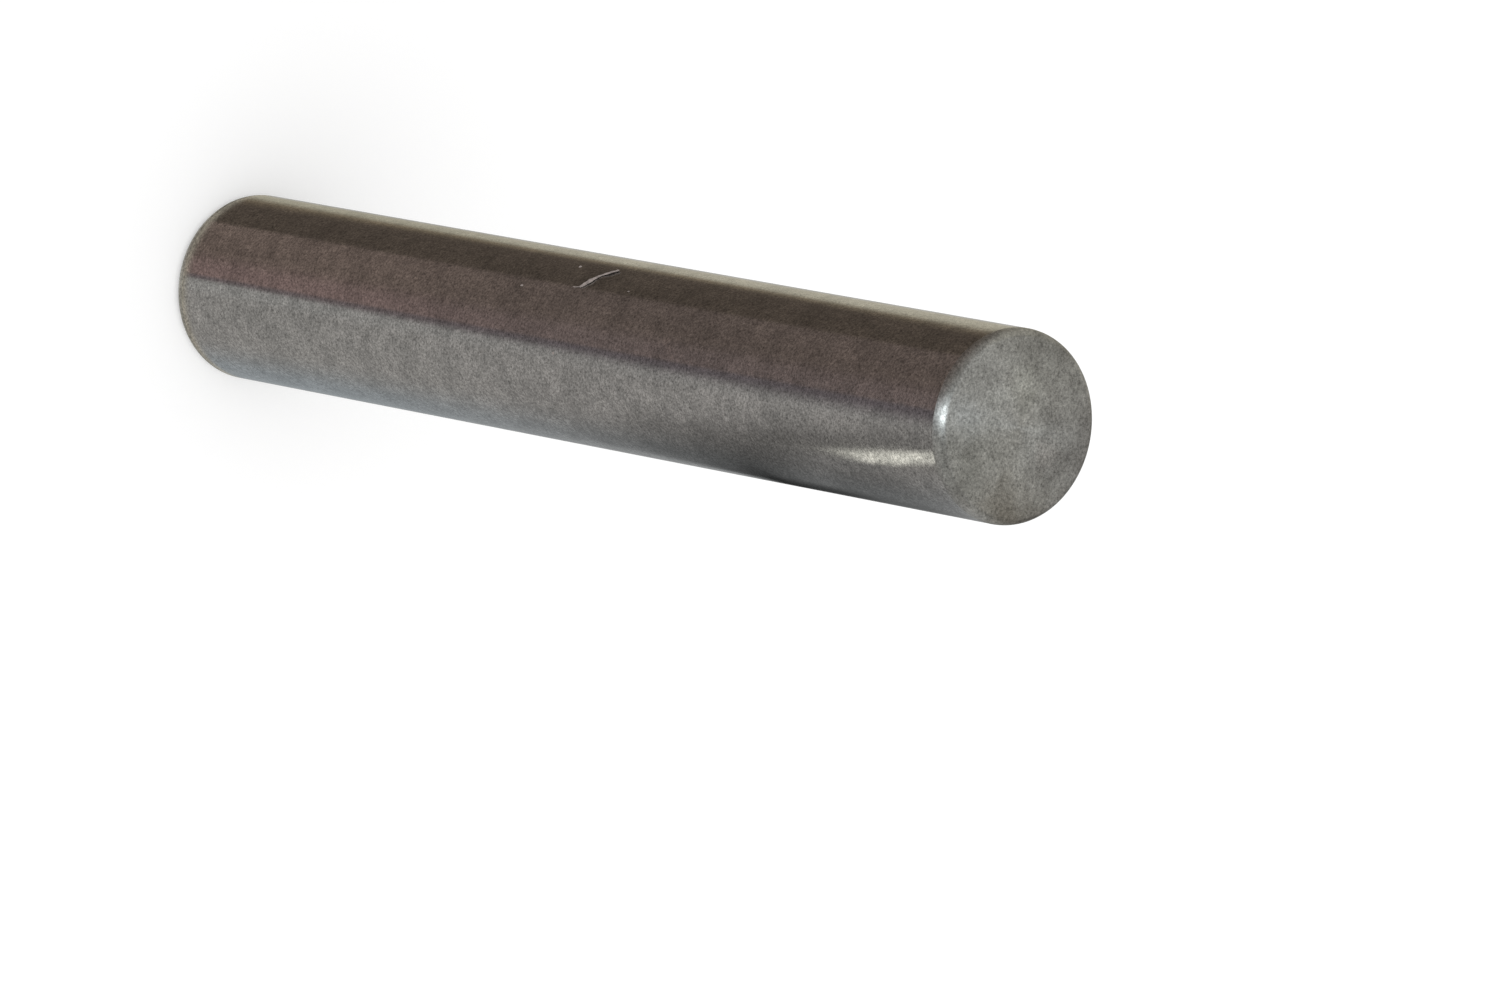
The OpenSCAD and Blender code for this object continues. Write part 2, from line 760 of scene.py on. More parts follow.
@dataclass
class LintFibre:
    """A cotton fibre that clings to the shank, flat and slightly twisted, with its sizes in metres.

    Attributes:
        pin: the pin that it lies on.
        azimuths: the angles of the points that it passes, in degrees.
        heights: the heights of the same points.
        width: its width in the middle.
        thickness: its thickness there.
        turns: how many half turns it twists by.
        twist_from: the share of its length where the twist starts.
        twist_over: the share that the twist takes.
        ends: the shares over which it grows from its first point and shrinks to its last.
        swells: the height and the quickness of the two sine waves that its size follows.
        tail: the share of its length that is a thin tail.
        tail_size: the tail's size, as a share of the rest's.
        tail_softness: the share of its length over which the one turns into the other.
        waist: how much thinner it is at one place, that place's share, and the waist's length.
        gap: how far it stays off the shank.
        rows: how many rings of points it has.
        columns: how many points a ring has.
    """

    pin: PinBody
    azimuths: tuple[float, ...] = (-36.6, -37.2, -38.4, -41.6, -45.6, -49.8, -52.6, -55.2, -57.6)
    heights: tuple[float, ...] = (20.12 * MM, 20.36 * MM, 20.55 * MM, 20.68 * MM, 20.78 * MM,
                                  20.9 * MM, 21.08 * MM, 21.2 * MM, 21.32 * MM)
    width: float = 0.17 * MM
    thickness: float = 0.06 * MM
    turns: float = 0.08
    twist_from: float = 0.45
    twist_over: float = 0.4
    ends: tuple[float, float] = (0.05, 0.03)
    swells: tuple[tuple[float, float], ...] = ((0.16, 19.0), (0.10, 47.0))
    tail: float = 0.2
    tail_size: float = 0.16
    tail_softness: float = 0.015
    waist: tuple[float, float, float] = (0.3, 0.68, 0.12)
    gap: float = 0.002 * MM
    rows: int = 90
    columns: int = 14

    def build(self) -> bpy.types.Object:
        """Carries an oval section along the path.

        The path is a smooth curve through the points. The oval's width lies in the shank's surface
        and turns slowly about the path, it swells and thins by two sines, and it is pointed at
        both ends. The section is lifted by as much as it reaches down.

        Returns:
            The fibre's object.
        """
        share = np.linspace(0.0, 1.0, self.rows)
        azimuth = smooth_through(np.array(self.azimuths), share)
        height = smooth_through(np.array(self.heights), share)
        ends = np.sqrt(np.clip(np.minimum(share / self.ends[0], (1 - share) / self.ends[1]), 0.0, 1.0))
        swell = (1 + sum(high * np.sin(quick * share) for high, quick in self.swells)) * ends
        rest = 1 + np.exp((self.tail - share) / self.tail_softness)
        body = self.tail_size + (1 - self.tail_size) / rest
        body *= 1 - self.waist[0] * bell(share, self.waist[1], self.waist[2])
        wide = self.width / 2 * swell * body
        thick = self.thickness / 2 * swell * body
        turned = np.clip((share - self.twist_from) / self.twist_over, 0.0, 1.0)
        twist = math.pi * self.turns * turned
        reach = np.sqrt((wide * np.sin(twist)) ** 2 + (thick * np.cos(twist)) ** 2)
        path = self.pin.on_shank(azimuth, height, reach + self.gap)
        along = np.gradient(path, axis=0)
        along /= np.linalg.norm(along, axis=1, keepdims=True)
        outward = path * np.array([1.0, 1.0, 0.0])
        outward /= np.linalg.norm(outward, axis=1, keepdims=True)
        side = np.cross(along, outward)
        side /= np.linalg.norm(side, axis=1, keepdims=True)
        over = np.cross(side, along)
        wide_way = side * np.cos(twist)[:, None] + over * np.sin(twist)[:, None]
        thick_way = over * np.cos(twist)[:, None] - side * np.sin(twist)[:, None]
        angle = np.linspace(0.0, 2 * math.pi, self.columns, endpoint=False)
        points = (path[:, None]
                  + (wide[:, None] * np.cos(angle))[..., None] * wide_way[:, None]
                  + (thick[:, None] * np.sin(angle))[..., None] * thick_way[:, None])
        return piece_of(closed_mesh("lint_fibre", points))


@dataclass
class DustSpecks:
    """Specks of dust on the shank, all one piece, with their sizes in metres.

    Attributes:
        pin: the pin that they lie on.
        specks: the azimuth in degrees, height, length and width of each.
        flatness: how thick a speck is, as a share of its width.
        perch: how far its middle is lifted, as a share of its thickness.
        lumps: for each of its two waves the height, the waves round and over it, and the turn
            that each next speck gives them.
        rows: how many rows of points a speck has.
        columns: how many points a row has.
    """

    pin: PinBody
    specks: tuple[tuple[float, float, float, float], ...] = (
        (-55.2, 19.44 * MM, 0.11 * MM, 0.10 * MM),
        (-31.3, 17.76 * MM, 0.13 * MM, 0.07 * MM),
        (6.7, 20.53 * MM, 0.10 * MM, 0.08 * MM),
        (-40.7, 22.82 * MM, 0.09 * MM, 0.05 * MM),
    )
    flatness: float = 0.3
    perch: float = 0.1
    lumps: tuple[tuple[float, float, float, float], ...] = ((0.18, 3.0, 2.0, 1.0), (0.12, 5.0, -3.0, 2.0))
    rows: int = 12
    columns: int = 20

    def build(self) -> bpy.types.Object:
        """Lays a lumpy flattened ball at each place.

        A ball's radius is 1 plus the sum of its sine waves, times the sine of the angle from its
        pole, so that they fade to both poles.

        Returns:
            The specks' object.
        """
        over = np.linspace(0.0, math.pi, self.rows)[:, None]
        angle = np.linspace(0.0, 2 * math.pi, self.columns, endpoint=False)[None, :]
        grids = []
        for number, (azimuth, height, long, wide) in enumerate(self.specks):
            waves = sum(high * np.sin(about * angle + along * over + shift * number)
                        for high, about, along, shift in self.lumps)
            lump = 1 + np.sin(over) * waves
            round_way = lump * np.sin(over) * np.cos(angle) * wide / 2
            up_way = lump * np.sin(over) * np.sin(angle) * long / 2
            out_way = lump * np.cos(over) * wide * self.flatness / 2
            turned = np.degrees(round_way / self.pin.radius) + azimuth
            lift = out_way + wide * self.flatness * self.perch
            grids.append(self.pin.on_shank(turned, height + up_way, lift))
        return piece_of(closed_mesh("dust_specks", *grids))


# The studio


@dataclass(frozen=True)
class Band:
    """A stretch of the reflector, as the shank mirrors it.

    Each value but the light is given at the pin's foot, with what it gains up to the near end.
    A pair of numbers is where a step starts and how far it takes.

    Attributes:
        ends_at: the shank's azimuth, in degrees from the front, where the next band starts.
        drift: how many degrees that gains.
        softness: how many degrees the change to the next band takes.
        spread: how many degrees that gains.
        foot: the light that the band gives off where the foot mirrors it.
        end: the light where the near end mirrors it.
        haze: how many degrees more the change takes at the foot and at the near end.
        bow: how many degrees less ends_at is half way up.
        turn: the shares of the pin's length over which the foot's light turns into the end's.
    """

    ends_at: float
    drift: float
    softness: float
    spread: float
    foot: Colour
    end: Colour
    haze: float = 0.0
    bow: float = 0.0
    turn: Step = (0.12, 0.42)

    def light(self, reach: np.ndarray) -> np.ndarray:
        """Gives the band's light at shares of the pin's length, with a last axis of three."""
        turned = ease(reach, *self.turn)[..., None]
        return np.array(self.foot) + turned * (np.array(self.end) - np.array(self.foot))


@dataclass(frozen=True)
class Panel:
    """A soft-edged panel on the reflector, upright, seen from the pin's near end.

    Attributes:
        bearing: the middle's bearing from the front, in degrees, positive towards +X.
        half_width: how far it reaches to each side, in degrees.
        low: the elevation of its lower side, in degrees.
        high: the elevation of its upper side, which is over 90 where it passes overhead.
        softness: how many degrees its rim takes.
        light: the light that it gives off.
    """

    bearing: float
    half_width: float
    low: float
    high: float
    softness: float
    light: Colour

    def cover(self, bearing: np.ndarray, elevation: np.ndarray) -> np.ndarray:
        """Works out how much of the panel is at each point.

        Args:
            bearing: the points' bearings, in degrees.
            elevation: their elevations, in degrees.

        Returns:
            The share, from 0 to 1.
        """
        turn, up = np.radians(bearing - self.bearing), np.radians(elevation)
        aside = np.degrees(np.arcsin(np.abs(np.cos(up) * np.sin(turn))))
        along = np.degrees(np.arctan2(np.sin(up), np.cos(up) * np.cos(turn)))
        half = self.softness / 2
        across = ease(aside, self.half_width + half, -self.softness)
        above = ease(along, self.low - half, self.softness)
        return across * above * ease(along, self.high + half, -self.softness)


@dataclass(frozen=True)
class ShadedCorner:
    """A shaded corner of the tent's paint, beside the near end.

    Azimuths are the shank's, in degrees from the front, and heights are shares of the pin's
    length. A pair of numbers is where a step starts and how far it takes, or as it is told here.

    Attributes:
        start: the height where the shade starts.
        climb: how much higher it starts further round to the front, by the cube of the degrees.
        climb_from: the azimuth where the climb starts.
        climb_over: the degrees that it takes.
        under: the azimuths over which the shade turns later, sharper and deeper.
        under_rise: how much later.
        late: the azimuths over which it turns later again.
        late_rise: how much later.
        softness: the height that the shade's start takes, and how much less it is past under.
        fade: the heights over which the shade ends.
        near: the heights over which it lightens.
        last: the heights over which it lightens again.
        depth: how much of the light it takes.
        lighter: how much less it takes past near, and past last.
        deeper: how much more it takes past under, and the share of that which near takes back.
        side: the azimuths over which the dark line and the pale end come in.
        line: how much of the light the line takes, and how much more past line_deeper.
        line_deeper: the azimuths over which it deepens.
        line_width: half the line's height.
        crease: the line's lowest height.
        crease_at: the azimuth there.
        crease_bend: how much the line rises by the square of the degrees from there.
        patch: how much of the light the dark patch above the line takes.
        patch_low: the heights over which the patch starts.
        patch_high: the heights over which it ends.
        glow: the light of the pale bell above the line, its height and its half width.
        glow_ends: the azimuths over which it ends.
        pale_end: the light that the last of the length gains.
        tail: the painted light of a faint tail to the strip lamp's reflection, on the tent.
        tail_azimuth: the tail's middle and half width.
        tail_height: its middle and half height.
        rim: the azimuths over which all of it ends, from the back.
    """

    start: float = 0.53
    climb: float = 0.24
    climb_from: float = 75.0
    climb_over: float = 50.0
    under: Step = (66.0, 12.0)
    under_rise: float = 0.11
    late: Step = (76.0, 4.0)
    late_rise: float = 0.07
    softness: tuple[float, float] = (0.28, 0.18)
    fade: Step = (1.15, 0.5)
    near: Step = (0.80, 0.1)
    last: Step = (0.93, 0.05)
    depth: float = 0.57
    lighter: tuple[float, float] = (0.15, 0.12)
    deeper: tuple[float, float] = (0.22, 0.35)
    side: Step = (33.0, 12.0)
    line: tuple[float, float] = (0.62, 0.33)
    line_deeper: Step = (58.0, 10.0)
    line_width: float = 0.024
    crease: float = 0.708
    crease_at: float = 66.0
    crease_bend: float = 0.00008
    patch: float = 0.36
    patch_low: Step = (0.70, 0.02)
    patch_high: Step = (0.80, 0.08)
    glow: tuple[float, float, float] = (0.08, 0.79, 0.03)
    glow_ends: Step = (64.0, 10.0)
    pale_end: float = 0.12
    tail: float = 0.13
    tail_azimuth: tuple[float, float] = (42.5, 5.5)
    tail_height: tuple[float, float] = (0.855, 0.035)
    rim: Step = (90.0, -9.0)

    def lay(self, light: np.ndarray, azimuth: np.ndarray, reach: np.ndarray) -> np.ndarray:
        """Lays the corner over the paint.

        The shade, the line and the patch each leave the light times 1 less their share. The glow,
        the pale end and the tail then add their own light. Every step is eased, and the line, the
        glow and the tail are bell curves.

        Args:
            light: the paint's light.
            azimuth: the shank's azimuth in degrees.
            reach: how far up the pin, as a share of its length.

        Returns:
            The light with the corner in it.
        """
        under, side = ease(azimuth, *self.under), ease(azimuth, *self.side)
        near, last = ease(reach, *self.near), ease(reach, *self.last)
        short = np.clip(self.climb_from - azimuth, 0.0, None) / self.climb_over
        starts = self.start + self.climb * short ** 3 + self.under_rise * under
        starts = starts + self.late_rise * ease(azimuth, *self.late)
        soft = self.softness[0] - self.softness[1] * under
        shade = ease(reach, starts - soft / 2, soft) * (1 - ease(reach, *self.fade))
        depth = self.depth - self.lighter[0] * near - self.lighter[1] * last
        depth = depth + self.deeper[0] * under * (1 - self.deeper[1] * near)
        crease = self.crease + self.crease_bend * (self.crease_at - azimuth) ** 2
        line = (self.line[0] + self.line[1] * ease(azimuth, *self.line_deeper)) * side
        line = line * bell(reach - crease, 0.0, self.line_width)
        patch = self.patch * under * ease(reach, *self.patch_low) * (1 - ease(reach, *self.patch_high))
        glow = self.glow[0] * bell(reach, *self.glow[1:]) * (1 - ease(azimuth, *self.glow_ends))
        tail = self.tail * bell(azimuth, *self.tail_azimuth) * bell(reach, *self.tail_height)
        rim = ease(azimuth, *self.rim)
        clear = (1 - depth * shade * rim) * (1 - line * rim) * (1 - patch * rim)
        pale = (side * (glow + self.pale_end * last) + tail) * rim
        return light * clear[..., None] + pale[..., None]


# Rounds of substitution after which a mirrored place no longer moves.
MIRROR_ROUNDS = 12


@dataclass
class ReflectorTent:
    """A painted tent round the pin that only its gloss sees, with its sizes in metres.

    It lies on the floor round the pin's foot, rises as a wall and closes as a dome. The shank
    mirrors it in bands along the pin, as a steel pin mirrors the room round it, so its paint is
    painted reflection, with painted shade in the corner beside the near end.

    Attributes:
        pin: the pin in its middle.
        sight: how steeply the camera looks down, in degrees.
        floor_radius: how far it lies on the floor.
        wall_height: the height of its wall.
        dome_height: the height of its top.
        floor_gap: how far it lies off the floor.
        top_hole: the radius that its top leaves open.
        around: how many columns go round the pin.
        rows: how many rows the floor ring, the wall and the dome have.
        bands: its bands in order, from behind round by -X, the front and +X to behind again.
        streaks: the waves for each degree, and the turn, of the fine streaks along the pin.
        streak_depth: how deep the streaks are, and how much deeper past streak_side.
        streak_side: where that starts and how far it takes, in degrees.
        corner: the shaded corner beside the near end.
        panels: the panels on it.
        ceiling: the light of its dome.
        horizon: the light that the dome gains down towards the wall.
        horizon_spread: how many degrees up that light takes to fade.
        dome_from: where the dome's light starts over the wall's and how far it takes, in degrees.
        sky: the light that the middle of the dome's bright patch adds.
        sky_bearing: the bearing of that patch, in degrees.
        sky_elevation: its elevation.
        sky_spread: how many degrees it takes to fade.
        rim: the light that lies close round the foot.
        rim_reach: where it starts and how far it takes, as shares of the pin's length.
    """

    pin: PinBody
    sight: float
    floor_radius: float = 200 * MM
    wall_height: float = 90 * MM
    dome_height: float = 260 * MM
    floor_gap: float = 0.05 * MM
    top_hole: float = 0.01 * MM
    around: int = 720
    rows: tuple[int, int, int] = (170, 12, 40)
    bands: tuple[Band, ...] = (
        Band(-81.0, 0.0, 5.0, 0.0, (0.46, 0.455, 0.44), (0.50, 0.495, 0.48)),
        Band(-68.3, 4.0, 3.0, 1.5, (0.465, 0.436, 0.342), (0.55, 0.515, 0.415), haze=8.0, bow=1.0),
        Band(-61.8, 2.3, 3.5, 2.0, (0.225, 0.180, 0.124), (0.245, 0.200, 0.142), haze=10.0, bow=2.4),
        Band(-37.5, 0.5, 2.4, 0.4, (0.109, 0.087, 0.070), (0.109, 0.087, 0.070)),
        Band(-12.0, 0.0, 12.0, 0.0, (0.219, 0.168, 0.145), (0.172, 0.135, 0.119)),
        Band(-1.0, 0.0, 2.0, 1.0, (0.290, 0.208, 0.195), (0.206, 0.162, 0.153)),
        Band(1.4, 5.4, 2.5, 9.0, (0.200, 0.165, 0.170), (0.165, 0.143, 0.153)),
        Band(9.0, 3.0, 5.0, 2.0, (0.432, 0.425, 0.412), (0.395, 0.383, 0.372)),
        Band(52.0, 0.0, 28.0, 0.0, (0.402, 0.390, 0.375), (0.400, 0.385, 0.372)),
        Band(85.0, 0.0, 8.0, 0.0, (0.355, 0.385, 0.405), (0.325, 0.335, 0.340)),
        Band(90.0, 0.0, 1.0, 0.0, (0.46, 0.455, 0.44), (0.50, 0.495, 0.48)),
    )
    streaks: tuple[tuple[float, float], ...] = ((2.1, 0.0), (3.3, 2.0), (0.9, 4.0))
    streak_depth: tuple[float, float] = (0.012, 0.018)
    streak_side: Step = (0.0, -10.0)
    corner: ShadedCorner = ShadedCorner()
    panels: tuple[Panel, ...] = (
        Panel(118.0, 10.0, -30.0, 40.0, 8.0, (0.80, 0.81, 0.80)),
        Panel(148.0, 9.0, -30.0, 30.0, 12.0, (0.20, 0.19, 0.18)),
        Panel(-136.0, 36.0, -22.0, 50.0, 16.0, (0.70, 0.675, 0.60)),
        Panel(54.0, 26.0, -18.0, 34.0, 16.0, (0.52, 0.52, 0.50)),
        Panel(0.0, 12.0, -6.0, 66.0, 14.0, (0.60, 0.66, 0.68)),
        Panel(0.0, 7.0, -38.0, 12.0, 9.0, (1.02, 1.09, 1.13)),
    )
    ceiling: Colour = (0.25, 0.24, 0.225)
    horizon: Colour = (0.19, 0.185, 0.175)
    horizon_spread: float = 22.0
    dome_from: Step = (-14.0, 22.0)
    sky: Colour = (0.42, 0.43, 0.43)
    sky_bearing: float = 195.0
    sky_elevation: float = 70.0
    sky_spread: float = 26.0
    rim: Colour = (0.50, 0.46, 0.38)
    rim_reach: Step = (0.018, -0.012)

    def _band_light(self, azimuth: np.ndarray, reach: np.ndarray) -> np.ndarray:
        """Reads the bands, each eased into the next about its end, with fine streaks along the pin.

        The streaks are sine waves of the azimuth, a few hundredths deep.

        Args:
            azimuth: the shank's azimuth in degrees, from -90 to 90.
            reach: how far up the pin, as a share of its length.

        Returns:
            The light, with a last axis of three.
        """
        share = np.clip(reach, 0.0, 1.0)
        light = self.bands[0].light(share)
        for band, after in zip(self.bands, self.bands[1:]):
            place = band.ends_at + band.drift * share - band.bow * (1 - (2 * share - 1) ** 2)
            soft = band.softness + band.spread * share + band.haze * (2 * share - 1) ** 2
            cover = ease(azimuth, place - soft / 2, soft)
            light = light + cover[..., None] * (after.light(share) - light)
        streaks = sum(np.sin(quick * azimuth + turn) for quick, turn in self.streaks)
        depth = self.streak_depth[0] + self.streak_depth[1] * ease(azimuth, *self.streak_side)
        return light * (1 + depth * streaks)[..., None]

    def _mirrored(self, bearing: np.ndarray, distance: np.ndarray) -> tuple[np.ndarray, np.ndarray]:
        """Finds where on the shank the camera sees a point of the floor mirrored.

        A ray that meets the shank at azimuth a leaves it at bearing 2 a, along a line that passes
        the axis at radius sin a. So a point's own bearing is 2 a less the arc sine of that over
        its distance, which a few rounds of substitution solve. The ray's length on the floor
        follows from the two distances, and it rises by the tangent of the camera's slope.

        Args:
            bearing: the point's bearing from the axis, in radians.
            distance: its distance from the axis.

        Returns:
            The azimuth on the shank in degrees, and the height as a share of the pin's length.
        """
        azimuth = bearing / 2
        for _ in range(MIRROR_ROUNDS):
            azimuth = (bearing + np.arcsin(np.clip(self.pin.radius * np.sin(azimuth) / distance, -1, 1))) / 2
        azimuth = np.clip(azimuth, -math.pi / 2, math.pi / 2)
        inner = self.pin.radius * np.sin(azimuth)
        run = np.sqrt(np.clip(distance ** 2 - inner ** 2, 0.0, None)) - self.pin.radius * np.cos(azimuth)
        return np.degrees(azimuth), run * math.tan(math.radians(self.sight)) / self.pin.length

    def _dome_light(self, bearing: np.ndarray, elevation: np.ndarray) -> np.ndarray:
        """Works out the dome's light.

        It is brightest at one place, and fades by a bell curve from it and from the horizon.

        Args:
            bearing: the points' bearings, in degrees.
            elevation: their elevations, in degrees.

        Returns:
            The light, with a last axis of three.
        """
        turn = np.radians(bearing - self.sky_bearing)
        up, middle = np.radians(elevation), math.radians(self.sky_elevation)
        apart = np.sin(up) * math.sin(middle) + np.cos(up) * math.cos(middle) * np.cos(turn)
        angle = np.degrees(np.arccos(np.clip(apart, -1.0, 1.0)))
        glow = np.exp(-0.5 * (angle / self.sky_spread) ** 2)
        low = bell(elevation, 0.0, self.horizon_spread)
        return (np.array(self.ceiling) + glow[..., None] * np.array(self.sky)
                + low[..., None] * np.array(self.horizon))

    def build(self) -> bpy.types.Object:
        """Builds the tent as a floor ring, a wall and a dome on one grid, and paints it.

        The ring's rows widen by one ratio, the wall is straight and the dome is a quarter of an
        ellipse. A point is (out sin t, -out cos t, up), for the column's bearing t.

        Returns:
            The tent's object, which only the steel's gloss sees.
        """
        ring = np.geomspace(self.pin.radius, self.floor_radius, self.rows[0])
        wall = np.linspace(0.0, self.wall_height, self.rows[1])[1:]
        lift = np.linspace(0.0, math.pi / 2, self.rows[2])[1:]
        top = self.dome_height - self.wall_height
        out = np.concatenate([ring, np.full_like(wall, self.floor_radius),
                              self.floor_radius * np.cos(lift) + self.top_hole])[:, None]
        up = np.concatenate([np.full_like(ring, self.floor_gap), wall,
                             self.wall_height + top * np.sin(lift)])[:, None]
        turn = np.linspace(-math.pi, math.pi, self.around + 1)[None]
        points = np.stack([out * np.sin(turn), -out * np.cos(turn), up + 0 * turn], axis=-1)
        made = piece_of(grid_mesh("reflector_tent", points[:, ::-1]))
        azimuth, reach = self._mirrored(turn, out)
        light = self.corner.lay(self._band_light(azimuth, reach), azimuth, reach)
        close = ease(reach, *self.rim_reach)[..., None]
        light = light * (1 - close) + np.array(self.rim) * close
        bearing = np.degrees(turn) + 0 * out
        elevation = np.degrees(np.arctan2(up - self.pin.length, out)) + 0 * turn
        share = ease(elevation, *self.dome_from)[..., None]
        light = light * (1 - share) + self._dome_light(bearing, elevation) * share
        for panel in self.panels:
            cover = panel.cover(bearing, elevation)[..., None]
            light = light * (1 - cover) + np.array(panel.light) * cover
        paint_points(made, "light", light[:, ::-1])
        made.data.materials.append(glow_material("tent_paint", "light"))
        show_to_gloss_only(made)
        return made


def paint_points(piece: bpy.types.Object, name: str, colours: np.ndarray) -> None:
    """Stores a colour at each point of a mesh.

    Args:
        piece: the object.
        name: the attribute's name.
        colours: the linear colours, in the order of the points.
    """
    layer = piece.data.attributes.new(name, "FLOAT_COLOR", "POINT")
    flat = colours.reshape(-1, 3)
    layer.data.foreach_set("color", np.column_stack([flat, np.ones(len(flat))]).astype(np.float32).ravel())


def glow_material(name: str, light: str) -> bpy.types.Material:
    """Makes a material that gives off its own light and is no lamp for others.

    Args:
        name: the material's name.
        light: the colour attribute of its light.

    Returns:
        The material.
    """
    made, graph = new_material(name)
    made.cycles.emission_sampling = "NONE"
    paint = graph.add("ShaderNodeAttribute", {"attribute_name": light}).outputs["Color"]
    surface = graph.add("ShaderNodeEmission", Color=paint).outputs[0]
    graph.add("ShaderNodeOutputMaterial", Surface=surface)
    return made


def show_to_gloss_only(piece: bpy.types.Object) -> None:
    """Hides a reflector from every ray but the steel's gloss.

    Args:
        piece: the reflector.
    """
    piece.visible_camera = False
    piece.visible_diffuse = False
    piece.visible_transmission = False
    piece.visible_volume_scatter = False
    piece.visible_shadow = False


@dataclass
class Studio:
    """The plain white studio round the pin, with its sizes in metres.

    Attributes:
        pin: the pin in its middle.
        sight: how steeply the camera looks down, in degrees.
        floor_size: the floor's half side.
        floor_colour: the floor's own pale colour.
        floor_lift: the light that brings the floor up to white for the camera and for gloss.
        sky: the world's level for everything else.
        sun: the light that the soft lamp gives to a level surface, beside the sky's.
        sun_spread: how wide the soft lamp is, in degrees.
        sun_way: the way that it shines.
        card_far: how far the gleam's lamp stands from the near end's centre.
        card_bearing: its bearing from the front, in degrees, positive towards +X.
        card_elevation: its middle's elevation, in degrees.
        card_half_width: how far it reaches to each side, in degrees.
        card_half_height: how far it reaches up and down, in degrees.
        card_light: the light that it gives off.
        card_colour: the light's colour.
        strip_ends: the azimuth in degrees, and the depth below the near end, of the two places
            where the shank mirrors the strip lamp's ends.
        strip_far: how far off the shank the strip lamp is, along the mirrored rays.
        strip_width: how wide it is.
        strip_turn: how far it is turned about its length, so that its ends look square, in degrees.
        strip_light: the light that it gives off.
        strip_colour: the light's colour.
    """

    pin: PinBody
    sight: float
    floor_size: float = 6.0
    floor_colour: Colour = (0.8, 0.8, 0.8)
    floor_lift: float = 0.28
    sky: float = 0.6
    sun: float = 0.42
    sun_spread: float = 70.0
    sun_way: tuple[float, float, float] = (-0.15, 0.25, -1.0)
    card_far: float = 150 * MM
    card_bearing: float = 1.5
    card_elevation: float = 37.0
    card_half_width: float = 3.4
    card_half_height: float = 29.0
    card_light: float = 7.0
    card_colour: Colour = (0.93, 1.0, 1.04)
    strip_ends: tuple[tuple[float, float], ...] = ((21.6, -2.2 * MM), (37.0, 4.8 * MM))
    strip_far: float = 20 * MM
    strip_width: float = 3.4 * MM
    strip_turn: float = 60.0
    strip_light: float = 0.71
    strip_colour: Colour = (1.0, 0.99, 0.88)

    def build(self) -> None:
        """Builds the floor, the world, the three lamps and the tent."""
        self._floor()
        self._world()
        self._lamp()
        self._gleam_card()
        self._strip_lamp()
        ReflectorTent(self.pin, self.sight).build()

    @staticmethod
    def _seen(graph: Graph) -> Socket:
        """Adds a mask of the rays that come from the camera, from gloss or through glass.

        Args:
            graph: the material's or the world's graph.

        Returns:
            The mask's socket.
        """
        path = graph.add("ShaderNodeLightPath").outputs
        camera_or_gloss = graph.math("MAXIMUM", path["Is Camera Ray"], path["Is Glossy Ray"])
        return graph.math("MAXIMUM", camera_or_gloss, path["Is Transmission Ray"])

    def _floor(self) -> None:
        """Lays a pale floor that keeps the pin's shadow."""
        side = self.floor_size
        points = np.array([(-side, -side, 0.0), (side, -side, 0.0), (side, side, 0.0), (-side, side, 0.0)])
        made = piece_of(mesh_of("floor", points, [[0, 1, 2, 3]]))
        paint, graph = new_material("pale_floor")
        paint.cycles.emission_sampling = "NONE"
        matt = graph.add("ShaderNodeBsdfDiffuse", Color=self.floor_colour).outputs[0]
        lift = graph.math("MULTIPLY", self._seen(graph), self.floor_lift)
        glow = graph.add("ShaderNodeEmission", Strength=lift).outputs[0]
        both = graph.add("ShaderNodeAddShader", i0=matt, i1=glow).outputs[0]
        graph.add("ShaderNodeOutputMaterial", Surface=both)
        made.data.materials.append(paint)

    def _world(self) -> None:
        """Sets a white world: full strength where it is seen, and a plain level elsewhere."""
        world = bpy.data.worlds.new("white_world")
        world.use_nodes = True
        graph = Graph(world.node_tree)
        strength = graph.math("MAXIMUM", self._seen(graph), self.sky)
        back = graph.add("ShaderNodeBackground", Color=(1.0, 1.0, 1.0), Strength=strength).outputs[0]
        graph.add("ShaderNodeOutputWorld", Surface=back)
        bpy.context.scene.world = world

    def _lamp(self) -> None:
        """Adds a soft, far lamp over the pin, for the floor and for all that is matt.

        A lamp of strength pi lights a white level surface to 1, so the strength is the level
        times pi.
        """
        light = bpy.data.lights.new("soft_lamp", "SUN")
        light.energy = self.sun * math.pi
        light.angle = math.radians(self.sun_spread)
        lamp = bpy.data.objects.new("soft_lamp", light)
        lamp.rotation_euler = Vector(self.sun_way).to_track_quat("-Z", "Y").to_euler()
        lamp.visible_glossy = False
        bpy.context.scene.collection.objects.link(lamp)

    @staticmethod
    def _gloss_lamp(name: str, size: tuple[float, float], level: float, colour: Colour) -> bpy.types.Object:
        """Adds a flat lamp that only the steel's gloss sees.

        A flat lamp gives off its power over four times its area.

        Args:
            name: the lamp's name.
            size: its width and height.
            level: the light that it gives off.
            colour: the light's colour.

        Returns:
            The lamp, which shines down its own -Z.
        """
        light = bpy.data.lights.new(name, "AREA")
        light.shape = "RECTANGLE"
        light.size, light.size_y = size
        light.energy = 4 * level * size[0] * size[1]
        light.color = colour
        lamp = bpy.data.objects.new(name, light)
        lamp.visible_camera = False
        lamp.visible_diffuse = False
        bpy.context.scene.collection.objects.link(lamp)
        return lamp

